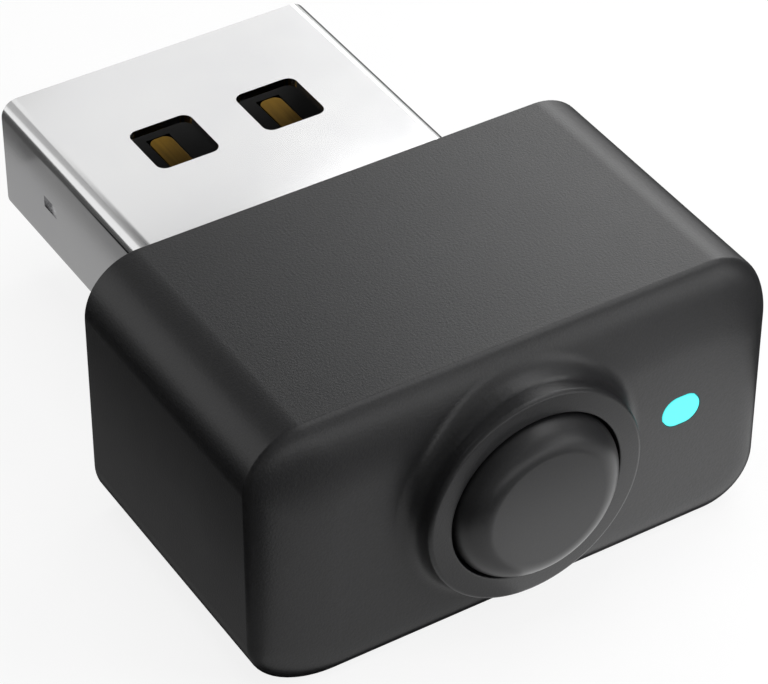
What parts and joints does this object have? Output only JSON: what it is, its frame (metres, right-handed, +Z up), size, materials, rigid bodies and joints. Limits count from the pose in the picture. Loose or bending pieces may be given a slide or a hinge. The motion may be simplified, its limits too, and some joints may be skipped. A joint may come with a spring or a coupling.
{
  "type": "mouse jiggler",
  "caption": "Plug-in dongle: black rounded housing with a sprung round push button in a raised collar, a cyan status light and a flat metal plug with latch windows.",
  "frame": {"origin": "middle of the overall footprint, on the plane of the housing's flat underside", "axes": "+Y out of the housing along the plug towards its tip, -Y out of the push button's face, +Z up through the plug's windowed top, +X towards the side with the status light"},
  "size_m": [0.0186, 0.0246, 0.01],
  "materials": {
    "housing_plastic": "fine spark-eroded texture, satin black ABS",
    "cover_plastic": "fine texture, satin black ABS",
    "button_plastic": "smooth satin, black ABS",
    "light_window": "clear light guide, lit cyan from inside",
    "nickel_steel": "bright nickel plate on deep-drawn steel sheet",
    "insulator_plastic": "moulded black liquid-crystal polymer",
    "gold_contact": "flash gold plate on phosphor bronze",
    "board_laminate": "green solder mask on glass epoxy laminate",
    "switch_plastic": "moulded black nylon",
    "tinned_steel": "tin plate",
    "plunger_plastic": "natural acetal",
    "spring_bronze": "rolled spring bronze",
    "led_resin": "clear resin over a white base",
    "chip_epoxy": "moulded black epoxy",
    "crystal_can": "seam-welded can",
    "capacitor_ceramic": "fired ceramic with tinned ends",
    "resistor_film": "glazed alumina"
  },
  "bodies": {
    "housing": {"housing_shell": "housing_plastic", "rear_cover": "cover_plastic", "light_pipe": "light_window", "usb_shell": "nickel_steel", "usb_insulator": "insulator_plastic", "contact_power": "gold_contact", "contact_data_minus": "gold_contact", "contact_data_plus": "gold_contact", "contact_ground": "gold_contact", "circuit_board": "board_laminate", "switch_base": "switch_plastic", "switch_frame": "tinned_steel", "switch_dome": "spring_bronze", "switch_terminals": "tinned_steel", "status_led": "led_resin", "controller_chip": "chip_epoxy", "controller_leads": "tinned_steel", "crystal": "crystal_can", "regulator": "chip_epoxy", "regulator_leads": "tinned_steel", "capacitors": "capacitor_ceramic", "resistors": "resistor_film"},
    "button": {"button_cap": "button_plastic"},
    "plunger": {"switch_plunger": "plunger_plastic"}
  },
  "joints": [
    {"name": "button_press", "type": "slide", "parent": "housing", "child": "button", "axis": [0, 1, 0], "range_m": [0, 0.00025], "stiffness_N_per_m": 2400, "springref_m": -0.0002, "deforming": ["switch_dome"]},
    {"name": "plunger_travel", "type": "slide", "parent": "housing", "child": "plunger", "axis": [0, 1, 0], "range_m": [0, 0.00025]}
  ],
  "couplings": [
    {"joint": "plunger_travel", "follows": "button_press", "ratio": 1}
  ]
}
